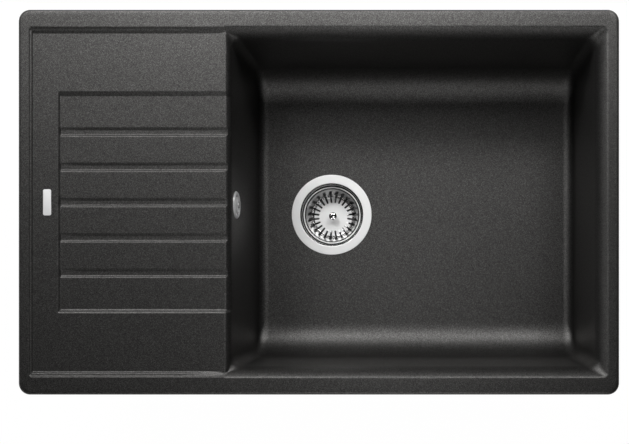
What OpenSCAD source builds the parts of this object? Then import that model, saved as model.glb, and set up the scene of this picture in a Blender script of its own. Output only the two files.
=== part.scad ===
// Inset kitchen sink moulded in one piece, with a ribbed drainer and one large bowl.
// Millimetres. The origin is the centre of the worktop cut-out, on the worktop's top surface.
// +X runs from the drainer to the bowl, +Y to the back and +Z up.

/* [Rim] */
// Length of the rim along X
sink_l = 780; // [776:1:800]
// Width of the rim along Y
sink_w = 500; // [496:1:520]
// Height of the rim above the worktop
rim_h = 8; // [8:0.5:12]
// Radius of the rim's outer corners in plan
rim_corner_r = 15; // [10:1:24]
// Rounding of the rim's upper edge
rim_edge_r = 4; // [1:0.5:5]
// Distance from the rim's outer edge to the start of the body that enters the cut-out
rim_seat_w = 16; // [14:0.5:17]

/* [Bowl] */
// Length of the bowl's opening along X
bowl_l = 497; // [475:1:535]
// Width of the rim beside the bowl's right end
end_rim_w = 15; // [14:0.5:20]
// Width of the rim along its front and back
long_rim_w = 22.5; // [21:0.5:26]
// Depth of the bowl's floor below the top of the rim
bowl_depth = 190; // [150:1:200]
// Angle by which the walls lean inwards towards the floor
draft = 5; // [3:0.5:8]
// Angle at which the lips break away from the level
crease = 20; // [0:1:30]
// Rounding of the lip around the bowl
lip_r = 22; // [16:0.5:26]
// Rounding of the lip between the drainer and the bowl
drainer_lip_r = 10.5; // [8:0.5:13]
// Radius of the opening's corners in plan
opening_corner_r = 4; // [3:0.5:8]
// Radius of the bowl's corners in plan, below the lip
bowl_corner_r = 11; // [9:0.5:20]
// Rounding between the floor and the front and back walls
cove_r = 48; // [36:1:60]
// Rounding between the floor and the side walls
seam_r = 15.5; // [10:0.5:20]
// Thickness of the bowl's walls
wall_t = 8.4; // [7:0.2:9]
// Thickness of the bowl's floor
floor_t = 10; // [9:0.5:14]

/* [Drainer] */
// Depth of the drainer panel below the top of the rim
panel_drop = 4.5; // [3.5:0.5:6]
// Width of the rim beside the drainer's left end
panel_rim_w = 13.5; // [13:0.5:24]
// Rounding of the step at the panel's left end
side_step_r = 8; // [7:0.5:12]
// Radius of the panel's corners in plan
panel_corner_r = 6; // [4:0.5:12]
// Drop from the panel to the planks
plank_drop = 3.5; // [2:0.25:4]
// Width of the plain strip between the panel's left end and the planks
left_strip_w = 36.5; // [30:0.5:76]
// Width of the plain strips in front of and behind the planks
side_strip_w = 83; // [76:1:103]
// Number of planks
plank_count = 6; // [4:1:7]
// Distance from one groove to the next
plank_pitch = 46; // [40:0.5:47]
// Width of the step around the planks
plank_step = 6; // [4:0.5:8]
// Depth of the grooves between the planks
groove_depth = 2.2; // [1:0.2:2.6]
// Width of a groove at its top
groove_w = 12; // [8:0.5:13]
// Width of a groove at its bottom
groove_floor_w = 5; // [4:0.5:7]
// Thickness left under the drainer panel
panel_t = 11.5; // [10:0.5:14]

/* [Badge plate] */
// Distance from the panel's left end to the badge plate's centre
badge_inset = 23; // [18:0.5:24]
// Width of the badge plate along X
badge_w = 10.5; // [8:0.5:14]
// Length of the badge plate along Y
badge_l = 34; // [24:1:40]
// Thickness of the badge plate
badge_t = 1; // [0.8:0.1:1.4]
// Depth of the recess that the badge plate is glued into
badge_sink = 0.5; // [0.3:0.1:0.7]

/* [Seal under the rim] */
// Distance from the rim's outer edge to the sealing strip
seal_inset = 5.5; // [5:0.5:6]
// Width of the sealing strip
seal_w = 4; // [3:0.5:4]
// Depth of the groove for the sealing strip
seal_t = 2; // [1.5:0.25:3]

/* [Waste] */
// Centre of the waste along X
drain_x = 3; // [-20:1:60]
// Outer radius of the strainer dish
dish_r = 57; // [56:0.5:60]
// Radius of the hole in the bowl's floor
drain_hole_r = 45.6; // [45.4:0.1:46]
// Thickness of the strainer dish's sheet
dish_t = 1.2; // [1:0.1:1.4]
// Thickness of the gasket under the strainer dish
dish_gasket_t = 1; // [0.8:0.1:1.5]
// Gap around the strainer dish in its recess
dish_gap = 0.4; // [0.3:0.1:0.8]
// Depth of the ledge that the basket rests on
ledge_z = 10.6; // [10:0.2:12]
// Depth of the strainer dish
dish_depth = 44; // [43:0.5:46]
// Outer radius of the waste's outlet, which takes the trap's nut
outlet_r = 23.9; // [23.7:0.1:24]
// Length of the outlet's straight end
outlet_l = 33; // [26:1:40]
// Wall of the waste body
waste_wall = 3; // [2.5:0.1:3.5]
// Radius inside the waste body's cup
cup_r = 44; // [43.6:0.2:46]
// Thickness of the gasket between the bowl and the waste body
waste_gasket_t = 1.5; // [1:0.1:2]

/* [Basket] */
// Outer radius of the basket's rim
basket_r = 40.8; // [40.4:0.1:41]
// Radius of the basket's flat floor
basket_floor_r = 28.4; // [27:0.2:29]
// Sheet thickness of the basket
basket_t = 1; // [0.8:0.1:1.2]
// Thickness of the basket's seal
basket_seal_t = 1.5; // [1.2:0.1:1.8]
// Number of slots in the basket
slot_count = 24; // [16:1:28]
// Width of a slot
slot_w = 2.6; // [2:0.1:3]
// Radius at which the slots start
slot_in_r = 20.2; // [18:0.2:23]
// Height that the slots climb up the basket's wall
slot_rise = 13; // [8:0.5:16]
// Radius of the knob's head
knob_r = 5.6; // [5:0.1:8]
// Radius of the spindle under the basket
spindle_r = 3.4; // [3:0.1:3.6]
// Radius of the central clamping screw
clamp_screw_r = 3; // [2.5:0.1:3]

/* [Overflow] */
// Depth of the overflow below the top of the rim
overflow_drop = 42; // [34:1:46]
// Radius of the overflow's rosette
rosette_r = 18.2; // [17.5:0.1:20]
// Radius of the overflow hole through the wall
overflow_hole_r = 14; // [12:0.5:14.5]
// Thickness of the gasket behind the wall
overflow_gasket_t = 2; // [1.5:0.25:3]
// Depth of the overflow's cup behind the gasket
elbow_l = 23; // [22:0.5:28]
// Radius of the overflow's screw
overflow_screw_r = 2.5; // [2:0.1:2.5]
// Outer radius of the spigots that carry the overflow hose
spigot_r = 9.6; // [9:0.1:10]
// Wall of the spigots
spigot_wall = 2; // [1.6:0.1:2.4]
// Wall of the overflow hose
hose_wall = 1.6; // [1.2:0.1:2]
// Length of the overflow hose's straight end at the waste
hose_straight = 16; // [14:1:20]

/* [Worktop fixings] */
// Thickness of the worktop that the claws grip
worktop_t = 38; // [30:1:40]
// Places of the fixings along X
fixing_x = [-300, -20, 260]; // [-320:1:280]
// Distance of the fixings from the rim's front and back edges
fixing_inset = 20; // [19:0.5:21]
// Radius of the fixing screws
fixing_screw_r = 2.5; // [2:0.1:2.5]
// Length of a claw from its screw to its tip
claw_l = 18; // [16:1:19]
// Width of a claw
claw_w = 14; // [12:0.5:15]
// Thickness of a claw
claw_t = 3; // [2.5:0.5:4]

/* [Fits] */
// Gap around a part that turns on a screw
turning_gap = 0.08; // [0.02:0.01:0.1]
// Gap around a part that is pushed on or drops in
loose_gap = 0.1; // [0.1:0.05:0.3]

/* [Output] */
// The sub-part to show, or all of them

/* [Hidden] */

$fn = 72;
eps = 0.01;
half_l = sink_l / 2;
half_w = sink_w / 2;
panel_z = rim_h - panel_drop;
plank_z = panel_z - plank_drop;
floor_z = rim_h - bowl_depth;
under_z = floor_z - floor_t;
slab_z = panel_z - panel_t;
body_half_l = half_l - rim_seat_w;
body_half_w = half_w - rim_seat_w;
bowl_right = half_l - end_rim_w;
bowl_left = bowl_right - bowl_l;
bowl_half_w = half_w - long_rim_w;
panel_left = -half_l + panel_rim_w;
plank_left = panel_left + left_strip_w;
plank_half_w = bowl_half_w - side_strip_w;
badge_x = panel_left + badge_inset;
fixing_y = half_w - fixing_inset;

// Depth of a rounded lip, and how far it comes in, from its crease to the wall below it
function lip_depth(r) = r * (cos(crease) - sin(draft));
function lip_reach(r) = r * (cos(draft) - sin(crease));
// How far a lip has come in at a depth below its crease
function lip_in(depth, r) = r * (sin(acos(cos(crease) - depth / r)) - sin(crease));

// Horizontal distance from the edge of the opening to the bowl's surface at height z
function inset(z, lip, top, cove) =
    let (
        lip_end = top - lip_depth(lip),
        cove_start = floor_z + cove * (1 - sin(draft))
    )
    z >= top ? 0
    : z > lip_end ? lip_in(top - z, lip)
    : z >= cove_start ? lip_reach(lip) + (lip_end - z) * tan(draft)
    : lip_reach(lip) + (lip_end - cove_start) * tan(draft) + cove * cos(draft)
        - cove * sin(acos(max(-1, min(1, 1 - (z - floor_z) / cove))));

// The same for the bowl's outer surface, which has no lip
function outset(z, lip, top, cove) =
    let (
        lip_end = top - lip_depth(lip),
        cove_start = under_z + cove * (1 - sin(draft)),
        at_lip = lip_reach(lip) - wall_t / cos(draft)
    )
    z >= cove_start ? at_lip + (lip_end - z) * tan(draft)
    : at_lip + (lip_end - cove_start) * tan(draft) + cove * cos(draft)
        - cove * sin(acos(max(-1, min(1, 1 - (z - under_z) / cove))));

// One horizontal ring of a rounded rectangle
function ring(left, right, half, r, z, steps = 8, left_r = undef) = [
    for (c = [[right, half, 0], [left, half, 90], [left, -half, 180], [right, -half, 270]])
        for (i = [0:steps])
            let (
                a = c[2] + 90 * i / steps,
                r = c[0] == left && left_r != undef ? left_r : r,
                sx = c[0] == right ? -1 : 1,
                sy = c[1] > 0 ? -1 : 1
            )
            [c[0] + sx * r + r * cos(a), c[1] + sy * r + r * sin(a), z]
];

// A closed solid through rings that run from the top down
module skin(rings) {
    n = len(rings[0]);
    m = len(rings);
    points = [for (r = rings) for (p = r) p];
    sides = [
        for (j = [0:m - 2])
            for (i = [0:n - 1])
                let (a = j * n + i, b = j * n + (i + 1) % n)
                each [[a, b, a + n], [b, b + n, a + n]]
    ];
    top = [for (i = [0:n - 1]) n - 1 - i];
    bottom = [for (i = [0:n - 1]) (m - 1) * n + i];
    polyhedron(points = points, faces = concat([top], sides, [bottom]));
}

// Part of the way from one height to another
function between(low, high, k) = low + (high - low) * k;

drainer_lip_z = panel_z - lip_depth(drainer_lip_r);
lip_z = min(rim_h - lip_depth(lip_r), drainer_lip_z - 1);
cove_z = floor_z + (1 - sin(draft)) * cove_r;
seam_z = floor_z + (1 - sin(draft)) * seam_r;
outer_cove_z = under_z + (1 - sin(draft)) * (cove_r + wall_t);
outer_seam_z = under_z + (1 - sin(draft)) * (seam_r + wall_t);
cavity_levels = concat(
    [rim_h + 1],
    [for (k = [0, 0.08, 0.28, 0.6]) between(rim_h, panel_z, k)],
    [for (k = [0, 0.12, 0.3, 0.52, 0.76]) between(panel_z, drainer_lip_z, k)],
    [for (k = [0, 0.5]) between(drainer_lip_z, lip_z, k)],
    [lip_z],
    [for (k = [0, 0.32, 0.58, 0.8]) between(cove_z, seam_z, k)],
    [for (k = [0, 0.32, 0.6, 0.83, 0.955, 1]) between(seam_z, floor_z, k)]
);
outer_levels = concat(
    [slab_z + 2],
    [for (k = [0, 0.3, 0.55, 0.8]) between(outer_cove_z, outer_seam_z, k)],
    [for (k = [0, 0.4, 0.75, 0.95, 1]) between(outer_seam_z, under_z, k)]
);

// The bowl's corners open out below the lip, from the opening's radius to the bowl's own
function corner_at(z, from, top, depth) =
    between(from, bowl_corner_r, max(0, min(1, (top - z) / depth)));

module bowl_cavity() {
    skin([
        for (z = cavity_levels)
            ring(
                bowl_left + inset(z, drainer_lip_r, panel_z, seam_r),
                bowl_right - inset(z, lip_r, rim_h, seam_r),
                bowl_half_w - inset(z, lip_r, rim_h, cove_r),
                corner_at(z, opening_corner_r, rim_h, 24), z, 8, corner_at(z, 1, panel_z, 16)
            )
    ]);
}

module bowl_shell() {
    skin([
        for (z = outer_levels)
            ring(
                bowl_left + outset(z, drainer_lip_r, panel_z, seam_r + wall_t),
                bowl_right - outset(z, lip_r, rim_h, seam_r + wall_t),
                bowl_half_w - outset(z, lip_r, rim_h, cove_r + wall_t),
                bowl_corner_r + wall_t, z, 6
            )
    ]);
}

// The panel's front and back steps carry on as the bowl's lip, and its left step is shorter
module panel_pocket() {
    skin([
        for (k = [-0.2, 0, 0.08, 0.28, 0.6, 1])
            let (z = rim_h - k * panel_drop)
            ring(
                panel_left + lip_in(max(0, k) * panel_drop, side_step_r),
                bowl_left + 50,
                bowl_half_w - inset(z, lip_r, rim_h, cove_r),
                panel_corner_r, z
            )
    ]);
}

// The steps around the planks: how far in and how far down each point of their rounded slope lies
step_points = [[0, 0], [0.2, 0.1], [0.4, 0.35], [0.6, 0.65], [0.8, 0.9], [1, 1]];

// The planks' section at x, where the panel or its lip lies at height z
function plank_section(x, z) = concat(
    [for (p = [5:-1:0]) [x, step_points[p][0] * plank_step - plank_half_w, z - step_points[p][1] * plank_drop]],
    [[x, -plank_half_w, z + 1], [x, plank_half_w, z + 1]],
    [for (p = [0:5]) [x, plank_half_w - step_points[p][0] * plank_step, z - step_points[p][1] * plank_drop]]
);

module plank_pocket() {
    lip_end = lip_reach(drainer_lip_r);
    skin([
        for (s = concat([[0, -0.3]], step_points))
            ring(
                plank_left + s[0] * plank_step, bowl_left,
                plank_half_w - s[0] * plank_step, 3, panel_z - s[1] * plank_drop
            )
    ]);
    skin(concat(
        [plank_section(bowl_left - 8, panel_z), plank_section(bowl_left, panel_z)],
        [
            for (a = [crease + 12:12:90 - draft])
                plank_section(
                    bowl_left + drainer_lip_r * (sin(a) - sin(crease)),
                    panel_z - drainer_lip_r * (cos(crease) - cos(a))
                )
        ],
        [plank_section(bowl_left + lip_end + 1, drainer_lip_z)]
    ));
    for (i = [1:plank_count - 1])
        translate([plank_left + plank_step / 2, (i - plank_count / 2) * plank_pitch, plank_z])
            groove(bowl_left + lip_end - plank_left);
}

module groove(l) {
    rotate([90, 0, 90])
        linear_extrude(l)
            polygon([
                [-groove_w / 2 - 0.5, 0.5], [-groove_w / 2, 0], [-groove_floor_w / 2, -groove_depth],
                [groove_floor_w / 2, -groove_depth], [groove_w / 2, 0], [groove_w / 2 + 0.5, 0.5]
            ]);
}

module rounded_plate(l, w, r, t) {
    linear_extrude(t)
        union() {
            square([l - 2 * r, w], center = true);
            square([l, w - 2 * r], center = true);
            for (x = [-1, 1])
                for (y = [-1, 1])
                    translate([x * (l / 2 - r), y * (w / 2 - r)])
                        circle(r);
        }
}

module rim_slab() {
    skin([
        for (a = [90, 65, 40, 18, 0])
            let (d = rim_edge_r * (1 - cos(a)))
            ring(
                -half_l + d, half_l - d, half_w - d, rim_corner_r - d,
                rim_h - rim_edge_r * (1 - sin(a))
            ),
        ring(-half_l, half_l, half_w, rim_corner_r, 0)
    ]);
}

module seal_ring(t) {
    difference() {
        rounded_plate(
            sink_l - 2 * seal_inset, sink_w - 2 * seal_inset, rim_corner_r - seal_inset, t
        );
        translate([0, 0, -1])
            rounded_plate(
                sink_l - 2 * (seal_inset + seal_w), sink_w - 2 * (seal_inset + seal_w),
                rim_corner_r - seal_inset - seal_w, t + 2
            );
    }
}

module at_fixings() {
    for (x = fixing_x)
        for (side = [0, 180])
            rotate([0, 0, side])
                translate([side == 0 ? x : -x, fixing_y, 0])
                    children();
}

// The overflow's own frame: its origin on the bowl's inner wall, its Z out of the wall
overflow_z = rim_h - overflow_drop;
overflow_x = bowl_left + inset(overflow_z, drainer_lip_r, panel_z, seam_r);
module at_overflow() {
    translate([overflow_x, 0, overflow_z])
        rotate([0, 90 - draft, 0])
            children();
}

lug_bottom = slab_z - 18;
lug_l = 28;
lug_w = 13;

module basin() {
    color([0.13, 0.13, 0.125])
        difference() {
            union() {
                rim_slab();
                translate([-body_half_l, -body_half_w, slab_z])
                    cube([2 * body_half_l, 2 * body_half_w, -slab_z + 1]);
                bowl_shell();
                at_fixings()
                    translate([-lug_l / 2, -lug_w, lug_bottom])
                        cube([lug_l, lug_w + 7, slab_z + 1 - lug_bottom]);
            }
            bowl_cavity();
            panel_pocket();
            plank_pocket();
            translate([badge_x, 0, panel_z - badge_sink])
                rounded_plate(badge_w + 0.3, badge_l + 0.3, 1.6, 3);
            translate([0, 0, -1])
                seal_ring(seal_t + 1);
            translate([drain_x, 0, floor_z - dish_t - dish_gasket_t])
                cylinder(h = 20, r = dish_r + dish_gap);
            translate([drain_x, 0, under_z - 5])
                cylinder(h = 40, r = drain_hole_r);
            at_overflow()
                translate([0, 0, -wall_t - 10])
                    cylinder(h = wall_t + 20, r = overflow_hole_r);
            at_fixings()
                translate([0, 0, lug_bottom - 1])
                    cylinder(h = 15, r = fixing_screw_r);
            for (side = [-1, 1])
                translate([(bowl_left + plank_left) / 2 + 60, side * (bowl_half_w + plank_half_w) / 2, slab_z - 1])
                    cylinder(h = 6, r1 = 18, r2 = 16.5);
        }
}

module badge_plate() {
    color([0.82, 0.82, 0.83])
        translate([badge_x, 0, panel_z - badge_sink])
            rounded_plate(badge_w, badge_l, 1.5, badge_t);
}

module rim_seal() {
    color([0.16, 0.16, 0.17])
        seal_ring(seal_t);
}

ledge_out_r = basket_r + 0.7;
ledge_in_r = basket_r - 3.8;
throat_r = drain_hole_r + 0.6;

module drain_flange() {
    t = dish_t;
    l = ledge_z;
    b = dish_depth;
    well = ledge_in_r - 0.2;
    top = [
        [dish_r, 0], [throat_r, 0], [throat_r - 1.8, -0.6], [throat_r - 3.1, -2.2],
        [ledge_out_r + 0.8, -4.5], [ledge_out_r + 0.2, -l + 1.6], [ledge_out_r, -l],
        [ledge_in_r, -l], [well, -b + 4], [well - 1.4, -b + 1], [well - 3.8, -b]
    ];
    bottom = [
        [well - 3.3, -b - t], [well - 0.5, -b + 0.2], [well + t, -b + 3.6],
        [ledge_in_r + t, -l - t], [ledge_out_r + t, -l - t], [ledge_out_r + t + 0.2, -l + 1.6],
        [ledge_out_r + t + 0.8, -4.8], [throat_r - 2, -2.8], [throat_r - 1.1, -1.6],
        [throat_r + 0.4, -t], [dish_r, -t]
    ];
    hub_r = clamp_screw_r + 0.2;
    color([0.78, 0.78, 0.77])
        translate([drain_x, 0, floor_z])
            difference() {
                rotate_extrude($fn = 96)
                    polygon(concat(
                        top, [[hub_r, -dish_depth], [hub_r, -dish_depth - dish_t]], bottom
                    ));
                for (q = [0:3])
                    rotate([0, 0, q * 90])
                        translate([3.5, 3.5, -dish_depth - 5])
                            intersection() {
                                cube([40, 40, 10]);
                                translate([-3.5, -3.5, 0])
                                    difference() {
                                        cylinder(h = 10, r = well - 5.8);
                                        translate([0, 0, -1])
                                            cylinder(h = 12, r = 11);
                                    }
                            }
            }
}

module flange_gasket() {
    color([0.1, 0.1, 0.1])
        translate([drain_x, 0, floor_z - dish_t - dish_gasket_t])
            difference() {
                cylinder(h = dish_gasket_t, r = dish_r - 0.5);
                translate([0, 0, -1])
                    cylinder(h = dish_gasket_t + 2, r = throat_r + 1.4);
            }
}

waste_top = under_z - waste_gasket_t;
cup_depth = 42;
cone_h = 16;
foot_z = -cup_depth - cone_h / 2;
foot_out_r = (cup_r + waste_wall + outlet_r) / 2;
foot_in_r = foot_out_r - 1.5 * waste_wall;
outlet_in_r = outlet_r - waste_wall;

module waste_body() {
    t = waste_wall;
    c = -cup_depth;
    color([0.18, 0.18, 0.19])
        translate([drain_x, 0, waste_top])
            difference() {
                union() {
                    difference() {
                        rotate_extrude($fn = 96)
                            polygon([
                                [cup_r, 0], [dish_r - 1, 0], [dish_r - 1, -4], [cup_r + t, -5],
                                [cup_r + t, c], [foot_out_r, foot_z], [foot_in_r, foot_z], [cup_r, c + 1.5]
                            ]);
                        translate([0, 0, -30])
                            rotate([0, -90, 0])
                                cylinder(h = 60, r = spigot_r - spigot_wall);
                    }
                    translate([0, 0, -30])
                        rotate([0, -90, 0])
                            translate([0, 0, cup_r + 1])
                                difference() {
                                    cylinder(h = 22, r = spigot_r);
                                    translate([0, 0, -2])
                                        cylinder(h = 30, r = spigot_r - spigot_wall);
                                }
                    intersection() {
                        union() {
                            translate([0, 0, c - 2])
                                cylinder(h = 10, r = 8);
                            for (q = [45, 135])
                                rotate([0, 0, q])
                                    translate([-cup_r - 1, -2.5, c - 1])
                                        cube([2 * cup_r + 2, 5, 8]);
                        }
                        translate([0, 0, c - 3])
                            cylinder(h = 20, r = cup_r + 1);
                    }
                }
                translate([0, 0, c - 5])
                    cylinder(h = 20, r = clamp_screw_r);
            }
}

// The tail that takes the trap's nut, seated under the waste body's cup
module waste_tail() {
    e = -cup_depth - cone_h;
    color([0.18, 0.18, 0.19])
        translate([drain_x, 0, waste_top])
            rotate_extrude($fn = 96)
                polygon([
                    [foot_out_r, foot_z], [outlet_r, e], [outlet_r, e - outlet_l],
                    [outlet_in_r, e - outlet_l], [outlet_in_r, e + 1], [foot_in_r, foot_z]
                ]);
}

module waste_gasket() {
    color([0.1, 0.1, 0.1])
        translate([drain_x, 0, waste_top])
            difference() {
                cylinder(h = waste_gasket_t, r = dish_r - 1.5);
                translate([0, 0, -1])
                    cylinder(h = waste_gasket_t + 2, r = drain_hole_r + 0.4);
            }
}

socket_r = spindle_r + 0.6;
screw_head_h = 5.5;

module clamp_screw() {
    color([0.75, 0.75, 0.75])
        translate([drain_x, 0, floor_z - dish_depth])
            difference() {
                union() {
                    cylinder(h = screw_head_h, r = 7.5);
                    translate([0, 0, -22])
                        cylinder(h = 22 + eps, r = clamp_screw_r);
                }
                translate([0, 0, 1])
                    cylinder(h = screw_head_h, r = socket_r);
            }
}

seat_z = -ledge_z + basket_seal_t;
disc_z = -33.5;

module basket() {
    t = basket_t;
    w = ledge_in_r - 0.3;
    f = basket_floor_r;
    color([0.8, 0.8, 0.79])
        translate([drain_x, 0, floor_z])
            difference() {
                rotate_extrude($fn = 96)
                    polygon([
                        [basket_r, seat_z + t], [w - 0.3, seat_z + t], [w - 1.1, seat_z + 0.2],
                        [w - 1.5, seat_z - 1], [f + 2.8, disc_z + 3], [f + 1.9, disc_z + 0.9],
                        [f, disc_z], [2, disc_z], [2, disc_z - t], [f + 0.4, disc_z - t],
                        [f + 2.7, disc_z - 0.1], [f + 3.8, disc_z + 2.8],
                        [w - 1.5 + t, seat_z - 1.2], [w, seat_z], [basket_r, seat_z]
                    ]);
                for (i = [0:slot_count - 1])
                    rotate([0, 0, (i + 0.5) * 360 / slot_count])
                        translate([0, 0, disc_z - 3]) {
                            translate([slot_in_r + slot_w / 2, -slot_w / 2, 0])
                                cube([20, slot_w, slot_rise + 3]);
                            translate([slot_in_r + slot_w / 2, 0, 0])
                                cylinder(h = 8, r = slot_w / 2, $fn = 24);
                        }
            }
}

module basket_seal() {
    color([0.1, 0.1, 0.1])
        translate([drain_x, 0, floor_z - ledge_z])
            difference() {
                cylinder(h = basket_seal_t, r = basket_r - 0.5, $fn = 96);
                translate([0, 0, -1])
                    cylinder(h = basket_seal_t + 2, r = ledge_in_r + 0.3, $fn = 96);
            }
}

module basket_knob() {
    color([0.85, 0.85, 0.86])
        translate([drain_x, 0, floor_z + disc_z])
            difference() {
                rotate_extrude($fn = 64)
                    polygon([
                        [0, 0], [4.4, 0], [4.4, 1], [3.2, 1.8], [3, 7], [knob_r - 0.6, 8.6],
                        [knob_r, 9.6], [knob_r, 10.6], [knob_r - 0.6, 12.2], [knob_r - 2, 13.3],
                        [2, 13.9], [0, 14.1]
                    ]);
                translate([0, 0, -1])
                    cylinder(h = 8, r = 2);
            }
}

module basket_spindle() {
    color([0.75, 0.75, 0.75])
        translate([drain_x, 0, floor_z + disc_z - basket_t])
            union() {
                translate([0, 0, -7.5])
                    cylinder(h = 7.5, r = spindle_r);
                cylinder(h = basket_t + 6, r = 2);
            }
}

module overflow_rosette() {
    color([0.82, 0.82, 0.83])
        at_overflow()
            difference() {
                union() {
                    rotate_extrude($fn = 96)
                        polygon([
                            [13, 0], [rosette_r, 0], [rosette_r, 0.8], [rosette_r - 1.2, 2],
                            [15.4, 2.6], [14.4, 2.2], [13, 1]
                        ]);
                    rotate_extrude($fn = 96)
                        polygon([
                            [overflow_screw_r, 1.2], [12, 1.2], [12.2, 1.9], [9, 3], [5.2, 3.5],
                            [5, 2.4], [overflow_screw_r, 2.4]
                        ]);
                    for (q = [0:2])
                        rotate([0, 0, q * 120])
                            translate([10, -1.5, 0.4])
                                cube([4.5, 3, 1.2]);
                    translate([0, 0, -4])
                        difference() {
                            cylinder(h = 5.4, r = 5);
                            translate([0, 0, -1])
                                cylinder(h = 8, r = overflow_screw_r);
                        }
                }
                translate([0, 0, -5])
                    cylinder(h = 10, r = overflow_screw_r);
            }
}

elbow_top = -wall_t - overflow_gasket_t;
elbow_x = overflow_x - (wall_t + overflow_gasket_t + elbow_l / 2 + 1) * cos(draft);
screw_l = 26;

module overflow_screw() {
    color([0.75, 0.75, 0.75])
        at_overflow()
            difference() {
                union() {
                    translate([0, 0, 2.4])
                        cylinder(h = 1.8, r1 = 4.8, r2 = 4);
                    translate([0, 0, -screw_l])
                        cylinder(h = screw_l + 3, r = overflow_screw_r);
                }
                translate([-3, -0.6, 3.2])
                    cube([6, 1.2, 2]);
                translate([-0.6, -3, 3.2])
                    cube([1.2, 6, 2]);
            }
}

module overflow_gasket() {
    color([0.1, 0.1, 0.1])
        at_overflow()
            translate([0, 0, elbow_top])
                difference() {
                    cylinder(h = overflow_gasket_t, r = 19);
                    translate([0, 0, -1])
                        cylinder(h = overflow_gasket_t + 2, r = overflow_hole_r + 0.5);
                }
}

spigot_top = overflow_z - 16;
spigot_end = overflow_z - 42;

module overflow_elbow() {
    in_r = overflow_hole_r + 0.5;
    color([0.18, 0.18, 0.19])
        difference() {
            union() {
                difference() {
                    at_overflow()
                        translate([0, 0, elbow_top])
                            union() {
                                translate([0, 0, -3])
                                    cylinder(h = 3, r = 19);
                                translate([0, 0, -elbow_l])
                                    cylinder(h = elbow_l - 1, r = in_r + 2.5);
                            }
                    at_overflow()
                        translate([0, 0, elbow_top - elbow_l + 2.5])
                            cylinder(h = elbow_l + 2, r = in_r);
                    translate([elbow_x, 0, spigot_end])
                        cylinder(h = 40, r = spigot_r - spigot_wall);
                }
                difference() {
                    translate([elbow_x, 0, spigot_end])
                        cylinder(h = spigot_top - spigot_end + 2, r = spigot_r);
                    translate([elbow_x, 0, spigot_end - 1])
                        cylinder(h = 60, r = spigot_r - spigot_wall);
                    at_overflow()
                        translate([0, 0, elbow_top - elbow_l + 2.5])
                            cylinder(h = elbow_l + 2, r = in_r);
                }
                at_overflow()
                    translate([0, 0, elbow_top - elbow_l + 1])
                        cylinder(h = 10, r = 5);
            }
            at_overflow()
                translate([0, 0, -screw_l - 1])
                    cylinder(h = screw_l, r = overflow_screw_r);
        }
}

hose_in_r = spigot_r + loose_gap;
hose_out_r = hose_in_r + hose_wall;
hose_y_z = waste_top - 30;
hose_start_x = drain_x - cup_r - waste_wall - 3;
bend_x = hose_start_x - hose_straight;
bend_r = bend_x - elbow_x;
bend_z = hose_y_z + bend_r;
hose_top = spigot_end + 20;
rib_pitch = 8;
rib_count = floor((hose_top - 24 - bend_z) / rib_pitch);

// The hose's course: along to the waste, round the bend and up to the elbow
module hose_course(r, bend_tube_r, over) {
    translate([hose_start_x + over, 0, hose_y_z])
        rotate([0, -90, 0])
            cylinder(h = hose_straight + over, r = r);
    translate([bend_x, 0, bend_z])
        rotate([-90, 0, 0])
            rotate([0, 0, 90])
                rotate_extrude(angle = 90)
                    translate([bend_r, 0])
                        circle(bend_tube_r);
    translate([elbow_x, 0, bend_z])
        cylinder(h = hose_top - bend_z + over, r = r);
}

module overflow_hose() {
    color([0.3, 0.3, 0.31])
        difference() {
            union() {
                hose_course(hose_out_r, hose_out_r + 0.5, 0);
                for (i = [0:rib_count - 1])
                    translate([elbow_x, 0, bend_z + 4 + i * rib_pitch])
                        cylinder(h = 3.5, r = hose_out_r + 1);
            }
            hose_course(hose_in_r, hose_in_r + 0.4, 1);
        }
}

module hose_clip() {
    difference() {
        union() {
            cylinder(h = 7, r = hose_out_r + 1);
            translate([hose_out_r - 1, -3, 0])
                cube([6, 6, 7]);
        }
        translate([0, 0, -1])
            cylinder(h = 9, r = hose_out_r);
    }
}

module hose_clips() {
    color([0.72, 0.72, 0.72])
        union() {
            translate([hose_start_x - 4, 0, hose_y_z])
                rotate([0, -90, 0])
                    rotate([0, 0, 180])
                        hose_clip();
            translate([elbow_x, 0, hose_top - 11])
                rotate([0, 0, 180])
                    hose_clip();
        }
}

claw_z = -worktop_t - claw_t - 3;

// A claw that turns on its screw, with its tip up against the worktop's underside
module claw() {
    color([0.7, 0.7, 0.68])
        difference() {
            union() {
                translate([0, 0, claw_z])
                    cylinder(h = claw_t, r = claw_w / 2);
                translate([-claw_w / 2, 0, claw_z])
                    cube([claw_w, claw_l, claw_t]);
                translate([-claw_w / 2, claw_l - 4, claw_z])
                    cube([claw_w, 4, claw_t + 3]);
            }
            translate([0, 0, claw_z - 1])
                cylinder(h = claw_t + 2, r = fixing_screw_r + turning_gap);
        }
}

module claw_at(i, side) {
    translate([fixing_x[i], side * fixing_y, 0])
        rotate([0, 0, side > 0 ? 0 : 180])
            claw();
}

module claw_front_left() {
    claw_at(0, -1);
}

module claw_front_mid() {
    claw_at(1, -1);
}

module claw_front_right() {
    claw_at(2, -1);
}

module claw_back_left() {
    claw_at(0, 1);
}

module claw_back_mid() {
    claw_at(1, 1);
}

module claw_back_right() {
    claw_at(2, 1);
}

module fixing_screws() {
    color([0.72, 0.72, 0.7])
        at_fixings()
            difference() {
                union() {
                    translate([0, 0, claw_z - 4])
                        cylinder(h = 4, r = 5);
                    translate([0, 0, claw_z - 1])
                        cylinder(h = lug_bottom + 13 - claw_z, r = fixing_screw_r);
                }
                translate([-3, -0.6, claw_z - 5])
                    cube([6, 1.2, 3]);
                translate([-0.6, -3, claw_z - 5])
                    cube([1.2, 6, 3]);
            }
}

module claw_washers() {
    color([0.2, 0.2, 0.2])
        at_fixings()
            translate([0, 0, claw_z + claw_t])
                difference() {
                    cylinder(h = 1.5, r = 5);
                    translate([0, 0, -1])
                        cylinder(h = 4, r = fixing_screw_r);
                }
}

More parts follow.
